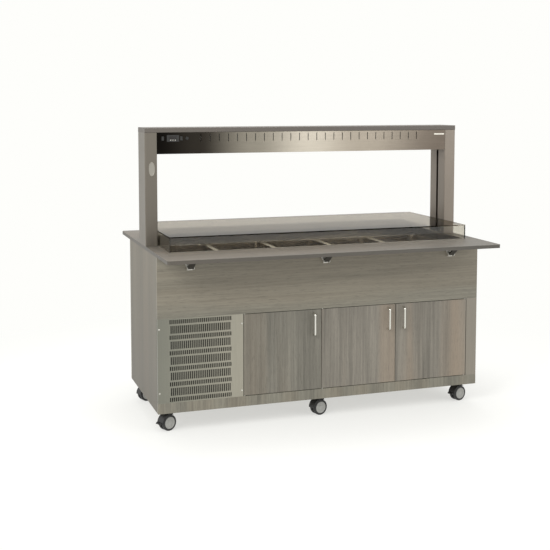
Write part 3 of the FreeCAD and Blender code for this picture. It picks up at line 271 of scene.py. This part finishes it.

# %% [markdown]
# The cabinet is laminated board with a printed grey oak. Its grain is long streaks: noise that is
# stretched along the grain. Three sizes of it are added: the tone of whole planks, the streaks,
# and the fine dark pores. Doors, ends and plinth have it upright, the long panels along the bar.
# The ends are darker towards the floor, and the counter's cut edges are darker than its top: both
# are painted shade.


# %% Laminate
def laminate(name, along, light, dark, shift, warm=0.0, shade_heights=None):
    """Grey oak with its grain along Z or X; shift picks the stretch of print.

    Shade heights are two heights: painted shade dims the board below the first, and above the
    second it is plain.
    """
    finish = Finish(name)

    def stretched(across, length):
        scale = (across, across, length) if along == "Z" else (length, across, across)
        return finish.coords(scale=scale, move=(shift, shift * 0.37, shift * 0.71))

    planks = finish.noise(stretched(9, 0.5), detail=2.0)
    streaks = finish.noise(stretched(95, 2.2), detail=5.0, roughness=0.65, distortion=0.2)
    fine = finish.noise(stretched(420, 9), detail=3.0, roughness=0.6)
    pores = finish.noise(stretched(700, 22), detail=1.0).step(0.6, 0.7)
    tone = planks.step(0.3, 0.7) * 0.3 + streaks.step(0.3, 0.7) * 0.42 + fine * 0.4 - 0.06
    wood = finish.mix(tone, dark, light)
    tint = finish.noise(stretched(6, 0.3), detail=2.0).step(0.38, 0.62)
    rosy = tuple(v * f for v, f in zip(light, (1.0, 0.94, 0.89)))
    wood = finish.mix(tint * (0.3 + warm), wood, rosy)
    wood = finish.mix(pores * 0.4, wood, tuple(v * 0.6 for v in dark))
    # painted shade: the board is darkened below the given heights
    if shade_heights:
        painted_shade = tuple(v * 0.72 for v in dark)
        wood = finish.mix((1 - finish.axis("Z").step(*shade_heights)) * 0.6, wood, painted_shade)
    rough = 0.42 + streaks * 0.12
    relief = fine * 0.6 + streaks * 0.4 - pores * 0.5
    return finish.surface(relief, 0.12, 0.0012, base_color=wood, roughness=rough)


OAK_LIGHT = (136, 133, 120)
OAK_DARK = (84, 81, 72)
upright = laminate("laminate_upright", "Z", OAK_LIGHT, OAK_DARK, 0.0)
paint(upright, "carcass_boards", "back_panel")
# painted shade on the ends, darker towards the floor
ends = laminate("laminate_ends", "Z", (118, 111, 97), (77, 72, 61), 1.7, shade_heights=(-0.3, 1.0))
paint(ends, "side_panels")
DOOR_TONES = (
    ((128, 124, 113), (80, 77, 69), 0.1),
    ((138, 132, 121), (86, 82, 74), 0.5),
    ((138, 132, 121), (86, 82, 74), 0.5),
)
for number, (light, dark, warmth) in enumerate(DOOR_TONES, 1):
    door_print = laminate(f"laminate_door_{number}", "Z", light, dark, 3.1 * number, warmth)
    paint(door_print, f"door_{number}")
lengthwise = laminate("laminate_lengthwise", "X", (134, 130, 117), (86, 83, 73), 5.3, 0.05)
paint(lengthwise, "upper_front_panel")
counter_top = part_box("worktop_frame")[1].z
# painted shade on the counter: below its top skin the board is darkened, so the cut edges are
# darker than the top
top_skin = (counter_top - 0.0016, counter_top - 0.0004)
counter = laminate("laminate_counter", "X", (110, 105, 97), (79, 75, 68), 8.9, 0.15, top_skin)
paint(counter, "worktop_frame", "front_tray_slide", "back_tray_slide")
print("laminate on the cabinet and the counter")

# %% [markdown]
# Brushed steel shows fine lines along the rolling direction. They are a stretched noise in the
# roughness and the bump. The grille and the canopy are large bright sheets that mirror a studio
# from dark to bright along the bar; that reflection is painted into their base colour along X.


# %% Metals
METAL_EDGE = 0.0008  # radius to which sheet edges are softened


def brushed(name, colour, along="Z", rough=0.34, metallic=1.0, painted_light=(), dull=(90, 88, 82)):
    """Brushed sheet; painted_light lists (place along X in metres, colour) of painted light and
    shade, which replaces the colour.
    """
    finish = Finish(name)
    scale = (900, 900, 9) if along == "Z" else (9, 900, 900)
    lines = finish.noise(finish.coords(scale=scale), detail=2.0)
    clouds = finish.noise(finish.coords(scale=(5, 5, 5)), detail=3.0)
    tone = colour
    # painted light: the colour follows X, as reflection and shade fall along the bar
    if painted_light:
        x = finish.axis("X")
        tone = painted_light[0][1]
        for (start, _), (end, after) in zip(painted_light, painted_light[1:]):
            tone = finish.mix(x.step(start, end), tone, after)
    dulled = finish.mix(lines.step(0.3, 0.7) * 0.12 + clouds * 0.08, tone, dull)
    roughness = rough + (lines - 0.5) * 0.18 + (clouds - 0.5) * 0.1
    values = {"base_color": dulled, "roughness": roughness, "metallic": metallic}
    return finish.surface(lines, 0.05, METAL_EDGE, **values)


# painted reflection on the canopy: nearly black at its left end, brightest in the middle
CANOPY_PAINTED_REFLECTION = (
    (-0.82, (18, 16, 14)),
    (-0.6, (50, 46, 41)),
    (-0.3, (146, 140, 128)),
    (0.0, (200, 192, 178)),
    (0.3, (160, 151, 138)),
    (0.8, (104, 95, 86)),
)
canopy_steel = brushed("canopy_steel", None, "X", 0.38, painted_light=CANOPY_PAINTED_REFLECTION, dull=(36, 34, 31))
paint(canopy_steel, "canopy_housing")
# painted reflection on the grille, brighter towards the right
GRILLE_PAINTED_REFLECTION = ((-0.88, (132, 132, 122)), (-0.7, (148, 146, 134)), (-0.45, (164, 160, 147)))
paint(brushed("grille_steel", None, painted_light=GRILLE_PAINTED_REFLECTION), "vent_grille")
paint(brushed("strip_steel", (146, 140, 130)), "steel_strip")
print("steel on the canopy, the grille and the strip")

# %% [markdown]
# The well and the containers carry painted shade deep down and a painted highlight at the rim,
# so the tone follows the height.


# %% Steel of the well
def well_lining(name, deep, rim, shade_heights):
    """Steel with painted shade deep in the well and a painted highlight at the rim, blended
    between two heights.
    """
    finish = Finish(name)
    lines = finish.noise(finish.coords(scale=(9, 700, 700)), detail=2.0)
    clouds = finish.noise(finish.coords(scale=(11, 11, 11)), detail=3.0)
    # painted shade below, painted highlight at the rim
    tone = finish.mix(finish.axis("Z").step(*shade_heights), deep, rim)
    tone = finish.mix(lines.step(0.35, 0.7) * 0.15 + clouds * 0.1, tone, (60, 56, 50))
    roughness = 0.24 + (lines - 0.5) * 0.12 + (clouds - 0.5) * 0.1
    values = {"base_color": tone, "roughness": roughness, "metallic": 1.0}
    return finish.surface(lines, 0.05, METAL_EDGE, **values)


well_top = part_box("well_basin")[1].z
rim_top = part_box("container_1")[1].z
WELL_SHADE_HEIGHTS = (well_top - 0.02, well_top - 0.001)
PAN_SHADE_HEIGHTS = (rim_top - 0.004, rim_top - 0.001)
well_steel = well_lining("well_steel", (120, 114, 104), (172, 168, 158), WELL_SHADE_HEIGHTS)
paint(well_steel, "well_basin", "divider_bars")
pan_steel = well_lining("pan_steel", (158, 150, 138), (236, 233, 226), PAN_SHADE_HEIGHTS)
paint(pan_steel, *[f"container_{i}" for i in range(1, 6)])
print("well steel up to", round(well_top, 3), "m, containers up to", round(rim_top, 3), "m")

# %% [markdown]
# The columns are painted metal, so they are only partly metallic; painted light makes the right
# one lighter than the left. Handles are satin nickel. The folding brackets are zinc plated, with
# painted shade in the channel between two flanges that are painted bright.

# %% Columns, fittings and brackets
# painted light: the right column is painted lighter than the left
COLUMN_PAINTED_LIGHT = ((-0.9, (112, 106, 97)), (0.9, (130, 121, 111)))
paint(brushed("column_metal", None, "Z", 0.42, metallic=0.6, painted_light=COLUMN_PAINTED_LIGHT), "columns")
nickel = brushed("handle_nickel", (228, 226, 218), "Z", 0.25)
paint(nickel, *[f"door_handle_{i}" for i in (1, 2, 3)])
paint(brushed("arm_steel", (190, 190, 184), "Z", 0.3), "cover_lift_arms", "door_pivot_pins")
zinc = brushed("zinc_plate", (216, 214, 206), "Z", 0.36, metallic=0.55)
paint(zinc, "tray_wall_brackets", "castor_plates")
BRACKET_HALF = 0.026  # from a bracket's middle to its side
CHANNEL_HALF = (0.0075, 0.0095)  # from its middle to where the flange begins
bracket_low, bracket_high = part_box("tray_wall_brackets")
bracket_x = bracket_high.x - BRACKET_HALF  # of the two outer brackets


def bracket_steel():
    """Painted light on the flanges on both sides of each bracket, and painted shade in its
    channel.
    """
    finish = Finish("bracket_steel")
    x = finish.axis("X")
    x = x.maths("ABSOLUTE", x)
    outer = x - bracket_x
    outer = outer.maths("ABSOLUTE", outer)
    flange = x.maths("MINIMUM", x, outer).step(*CHANNEL_HALF)
    # painted shade in each channel, painted light on the flanges
    tone = finish.mix(flange, (44, 42, 39), (246, 244, 238))
    return finish.surface(base_color=tone, roughness=0.42, metallic=0.15)


paint(bracket_steel(), "front_tray_arms", "back_tray_arms")
dark_stay = brushed("dark_stay", (70, 68, 64), "Z", 0.45, metallic=0.8)
paint(dark_stay, "front_tray_struts", "back_tray_struts")
paint(brushed("galvanised", (120, 122, 122), "X", 0.45), "unit_frame", "lift_actuators")
# the coil is painted nearly black: painted shade behind the grille's slots
paint(brushed("coil_fins", (22, 22, 21), "Z", 0.5, metallic=0.3), "condenser_coil")
print("brackets at x", [round(x, 3) for x in (-bracket_x, 0, bracket_x)])

# %% [markdown]
# Plastics and paints are nearly one colour, so what makes them real is a fine grain in the bump
# and a roughness that drifts a little.


# %% Plastics and paints
PLASTIC_EDGE = 0.0006  # radius to which moulded edges are softened


def moulded(name, colour, rough=0.5, grain=900, bump=0.1):
    """Plastic or paint of one colour, with pits of the given grain."""
    finish = Finish(name)
    pits = finish.noise(finish.coords(scale=(grain, grain, grain)), detail=2.0)
    clouds = finish.noise(finish.coords(scale=(14, 14, 14)), detail=3.0)
    tone = finish.mix(clouds * 0.25, colour, tuple(v * 0.8 for v in colour))
    roughness = rough + (clouds - 0.5) * 0.14
    return finish.surface(pits, bump, PLASTIC_EDGE, base_color=tone, roughness=roughness)


black = moulded("black_plastic", (34, 33, 32), 0.45)
paint(black, "control_housings", "power_rocker", "lift_rocker", "condenser_fan", "cable_gland")
castor_black = moulded("castor_black", (40, 40, 40), 0.5)
paint(castor_black, *[f"castor_fork_{i}" for i in range(1, 7)], "brake_pedal_1", "brake_pedal_2")
paint(moulded("shelf_dark", (92, 86, 80), 0.5, 500), "top_shelf")
paint(moulded("foam_cream", (214, 206, 184), 0.9, 300, 0.5), "well_insulation")
paint(moulded("lamp_opal", (226, 226, 220), 0.3, 300, 0.02), "lamp_unit")
paint(moulded("machine_black", (26, 26, 27), 0.35, 700), "compressor")
paint(moulded("button_black", (24, 23, 22), 0.35), "lamp_button")
print("plastic, paint and foam")

# %% [markdown]
# The cover is clear acrylic, five millimetres thick. Face on it is nearly invisible, and its cut
# edges look dark. The flat top is seen at a grazing angle, where a real pane mirrors the room, and
# in a white studio that would be all one sees. So the top bends light less than the upright panes,
# and the room's reflection is painted into it as a grey tint.


# %% Clear acrylic
COVER_WALL = 0.005
cover_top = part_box("cover_shell")[1].z


def acrylic():
    """Upright panes and a flat top with a shader each, parted just under the top sheet; the top's
    grey tint is a painted reflection.
    """
    finish = Finish("clear_acrylic")
    smear = finish.noise(finish.coords(scale=(3, 9, 9)), detail=4.0)
    values = {"roughness": 0.03 + smear * 0.05, "transmission_weight": 1.0}
    finish.surface(base_color=(232, 229, 221), ior=1.49, **values)
    panes = Signal(finish, finish.shader.outputs[0])
    finish.shader = finish.tree.nodes.new("ShaderNodeBsdfPrincipled")
    # painted reflection: the top is tinted grey, as a real pane mirrors the room
    finish.surface(base_color=(176, 169, 158), ior=1.045, **values)
    top_painted_reflection = Signal(finish, finish.shader.outputs[0])
    under = cover_top - COVER_WALL
    on_top = finish.axis("Z").step(under - 0.0015, under - 0.0005)
    blend = finish.add("MixShader", inputs=[on_top, panes, top_painted_reflection])
    finish.feed(finish.tree.nodes["Material Output"].inputs["Surface"], blend)
    return finish.material


paint(acrylic(), "cover_shell")
print("clear cover up to", round(cover_top, 3), "m")

# %% [markdown]
# Most of the small pieces here are turned parts: a wheel with its cap, a screw head, a badge. In
# Blender such a part starts as a short cylinder. Its face is then inset again and again, and each
# inset steps in or out a little, which is how a lathe would cut its rings.


# %% Turned pieces
def begin():
    """Leaves nothing selected, so that the operators act on the new piece alone."""
    bpy.ops.object.select_all(action="DESELECT")


def select_faces(piece, test):
    """Opens edit mode with just the faces that pass the test selected."""
    bpy.ops.object.mode_set(mode="EDIT")
    bpy.ops.mesh.select_mode(type="FACE")
    bpy.ops.mesh.select_all(action="DESELECT")
    mesh = bmesh.from_edit_mesh(piece.data)
    for face in mesh.faces:
        face.select_set(test(face))
    bmesh.update_edit_mesh(piece.data)


def close(piece, name, angle=32):
    """Leaves edit mode, puts the object's place into its mesh and shades it by angle."""
    bpy.ops.object.mode_set(mode="OBJECT")
    piece.name = name
    bpy.ops.object.transform_apply(location=True, rotation=True, scale=True)
    bpy.ops.object.shade_smooth_by_angle(angle=math.radians(angle))
    return piece


def turned(name, radius, deep, steps, vertices=32, shoulder=0.0):
    """A disc whose face, at y 0, looks towards -Y. A step is an inset and how far it goes out."""
    begin()
    lie = {"location": (0, deep / 2, 0), "rotation": (math.pi / 2, 0, 0)}
    bpy.ops.mesh.primitive_cylinder_add(vertices=vertices, radius=radius, depth=deep, **lie)
    piece = bpy.context.object
    bpy.ops.object.transform_apply(location=True, rotation=True, scale=True)
    if shoulder:
        select_faces(piece, lambda face: abs(face.normal.y) > 0.9)
        bpy.ops.mesh.bevel(offset=shoulder, segments=4, affect="EDGES")
        bpy.ops.object.mode_set(mode="OBJECT")
    select_faces(piece, lambda face: face.normal.y < -0.99 and len(face.verts) == vertices)
    for inset, out in steps:
        bpy.ops.mesh.inset(thickness=inset, depth=out)
    return close(piece, name)


def copies(piece, name, places):
    """One piece of many equal ones: a place and a turn for each, all joined."""
    made = []
    for place, turn in places:
        copy = piece.copy()
        copy.data = piece.data.copy()
        bpy.context.collection.objects.link(copy)
        copy.location, copy.rotation_euler = place, turn
        made.append(copy)
    begin()
    for copy in made:
        copy.select_set(True)
    bpy.context.view_layer.objects.active = made[0]
    bpy.ops.object.join()
    joined = bpy.context.object
    joined.name = name
    bpy.ops.object.transform_apply(location=True, rotation=True, scale=True)
    return joined


def fit(piece, body, slot, *materials):
    """Gives a finished piece its body and its materials; the slot is not used."""
    for material in materials:
        piece.data.materials.append(material)
    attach(piece, body)
    return piece


# %% [markdown]
# Each castor has two wheels on one axle. A wheel is a black tyre with rounded shoulders and a grey
# cap with turned rings. One disc is modelled, its copy turned round for the other side, and both
# are joined to the axle. The pair is then copied to the six places that the joints give.

# %% Castor wheels
WHEEL = 0.041  # radius
TYRE = 0.0155  # thickness of one wheel
TYRE_OUT = 0.0215  # middle of the castor to the tyre's outer face
CAP_EDGE = 0.0305  # radius at which the cap begins
CAP_STEPS = (
    (0.0068, 0.0),  # the tyre's flank
    (0.0004, -0.0014),  # down into the groove round the cap
    (0.0009, 0.0),
    (0.0004, 0.0026),  # up to the cap's rim
    (0.0032, 0.0),
    (0.0006, -0.0012),  # down to the dished face
    (0.0052, -0.0004),
    (0.0005, 0.0009),  # a raised ring
    (0.0016, 0.0),
    (0.0005, -0.0013),
    (0.0056, -0.0004),
    (0.0006, 0.0016),  # the hub
    (0.0045, 0.0004),
)
tyre_black = moulded("tyre_black", (30, 30, 30), 0.55, 700, 0.15)
cap_grey = moulded("cap_grey", (160, 160, 156), 0.4, 900, 0.06)

SHOULDER = 0.0035  # rounding of the tyre
AXLE = (0.005, 0.014)  # radius and length between the wheels

disc = turned("disc", WHEEL, TYRE, CAP_STEPS, 64, SHOULDER)
for material in (tyre_black, cap_grey):
    disc.data.materials.append(material)
for face in disc.data.polygons:
    centre = face.center
    outside = face.normal.y < 0.5 and centre.y < 0.004
    face.material_index = int(outside and math.hypot(centre.x, centre.z) < CAP_EDGE)
axle = turned("axle", *AXLE, [(0.0006, 0.0)])
axle.location = (0, -AXLE[1] / 2, 0)
axle.data.materials.append(tyre_black)
sides = [((0, -TYRE_OUT, 0), (0, 0, 0)), ((0, TYRE_OUT, 0), (0, 0, math.pi))]
both = copies(disc, "twin", sides)
begin()
axle.select_set(True)
both.select_set(True)
bpy.context.view_layer.objects.active = both
bpy.ops.object.join()
twin = bpy.context.object
for number in range(1, 7):
    joint = joints[f"wheel_{number}_spin"]
    turn = math.atan2(-joint["axis"][0], joint["axis"][1])
    wheel = copies(twin, f"wheel_{number}_twin", [(joint["pos_m"], (0, 0, turn))])
    fit(wheel, f"wheel_{number}", "castor_tread")
    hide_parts(f"castor_wheel_{number}")
for spare in (disc, twin):
    bpy.data.objects.remove(spare)
print("six twin wheels of", len(wheel.data.polygons), "faces")

# %% [markdown]
# The grille is held by four button-head screws with a socket in the middle. The same screw holds
# the wall brackets and the castor plates, so it is modelled once and copied.

# %% Screws
SCREW_STEPS = ((0.0009, 0.0007), (0.0016, 0.0003), (0.0002, -0.0009), (0.0009, -0.0001))
SCREW_DEEP = 0.0009  # the flat part of the head, which lies on the sheet
screw = turned("screw", 0.0048, SCREW_DEEP, SCREW_STEPS, 24)
screw_steel = brushed("screw_steel", (196, 194, 186), "Z", 0.3)
FRONT, BACK, DOWN = (0, 0, 0), (0, 0, math.pi), (math.pi / 2, 0, 0)
front_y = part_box("vent_grille")[0].y
grille_places = ((-0.879, 0.533), (-0.879, 0.211), (-0.453, 0.535), (-0.453, 0.190))
places = [((x, front_y - SCREW_DEEP, z), FRONT) for x, z in grille_places]
fit(copies(screw, "grille_screws", places), "cabinet", "bright_steel", screw_steel)

BRACKET_PLATE = 0.002  # thickness of the part on the wall
screw_y = front_y - BRACKET_PLATE - SCREW_DEEP
places = []
for x in (-bracket_x, 0, bracket_x):
    for z in (bracket_low.z + 0.0055, bracket_low.z + 0.044):
        places += [((x, screw_y, z), FRONT), ((x, -screw_y, z), BACK)]
fit(copies(screw, "bracket_screws", places), "cabinet", "bright_steel", screw_steel)

CASTOR_PLATE = 0.004  # thickness
PITCH_HALF = 0.022  # half the distance between a plate's screws
screw_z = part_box("side_panels")[0].z - CASTOR_PLATE - SCREW_DEEP
places = []
for number in range(1, 7):
    x, y, _ = joints[f"castor_{number}_swivel"]["pos_m"]
    for dx in (-PITCH_HALF, PITCH_HALF):
        places += [((x + dx, y + dy, screw_z), DOWN) for dy in (-PITCH_HALF, PITCH_HALF)]
fit(copies(screw, "castor_screws", places), "cabinet", "bright_steel", screw_steel)
bpy.data.objects.remove(screw)
print("screws on the grille, the brackets and the castor plates")

# %% [markdown]
# The left column carries an oval badge, and the canopy's right end a narrow plate. Both stay bare,
# with a rolled rim round a lowered field, as pressed metal plates have.

# %% Bare plates
BADGE = (0.0160, 0.0365)  # half its width and half its height
BADGE_AT = (-0.852, 1.309)  # its middle along X and Z
BADGE_DEEP = 0.0008
BADGE_STEPS = ((0.0012, 0.0008), (0.0016, 0.0), (0.0010, -0.0007))
badge = turned("badge", BADGE[1], BADGE_DEEP, BADGE_STEPS, 64)
badge.scale = (BADGE[0] / BADGE[1], 1, 1)
badge.location = (BADGE_AT[0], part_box("columns")[0].y - BADGE_DEEP, BADGE_AT[1])
bpy.ops.object.transform_apply(location=True, rotation=True, scale=True)
fit(badge, "cabinet", "bright_steel", brushed("badge_metal", (166, 162, 153), "X", 0.35))


def panel(name, width, height, deep, steps, place):
    """A flat plate whose face looks towards -Y at the place, shaped as turned pieces are."""
    begin()
    middle = (place[0], place[1] + deep / 2, place[2])
    bpy.ops.mesh.primitive_cube_add(size=1, location=middle, scale=(width, deep, height))
    piece = bpy.context.object
    bpy.ops.object.transform_apply(location=True, rotation=True, scale=True)
    select_faces(piece, lambda face: face.normal.y < -0.99)
    for inset, out in steps:
        bpy.ops.mesh.inset(thickness=inset, depth=out)
    return close(piece, name, 20)


PLATE = (0.063, 0.008, 0.0005)  # width, height and thickness
PLATE_STEPS = ((0.0005, 0.0004), (0.0008, 0.0), (0.0004, -0.0003))
plate_place = (0.7865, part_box("canopy_housing")[0].y - PLATE[2], 1.473)
plate = panel("canopy_plate", *PLATE, PLATE_STEPS, plate_place)
fit(plate, "cabinet", "bright_steel", brushed("plate_metal", (206, 202, 192), "X", 0.35))
print("bare badge and plate")

# %% [markdown]
# The thermostat is a dark panel instrument. In its window sits a dark pane with nothing lit on it,
# and three light keys stand in a row below.

# %% Thermostat
PANE = (0.0398, 0.0134, 0.0008)  # width, height and thickness
PANE_X = -0.7405  # its middle
KEY_PITCH = 0.012
SUNK = 0.0002  # how far the pane lies back in its window
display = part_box("control_housings")[0]  # the corner with the lowest values
pane_place = (PANE_X, display.y + SUNK, display.z + 0.020)
pane = panel("thermostat_pane", *PANE, ((0.0006, 0.0002),), pane_place)
fit(pane, "cabinet", "black_plastic", moulded("pane_dark", (20, 15, 14), 0.3, 200, 0.01))
key = turned("key", 0.0024, 0.0006, ((0.0005, 0.0004), (0.0007, 0.0002)), 24)
places = [
    ((PANE_X + dx, display.y - 0.0002, display.z + 0.0082), FRONT)
    for dx in (-KEY_PITCH, 0, KEY_PITCH)
]
keys = copies(key, "thermostat_keys", places)
fit(keys, "cabinet", "black_plastic", moulded("key_grey", (196, 192, 184), 0.5))
bpy.data.objects.remove(key)
print("thermostat pane and keys")
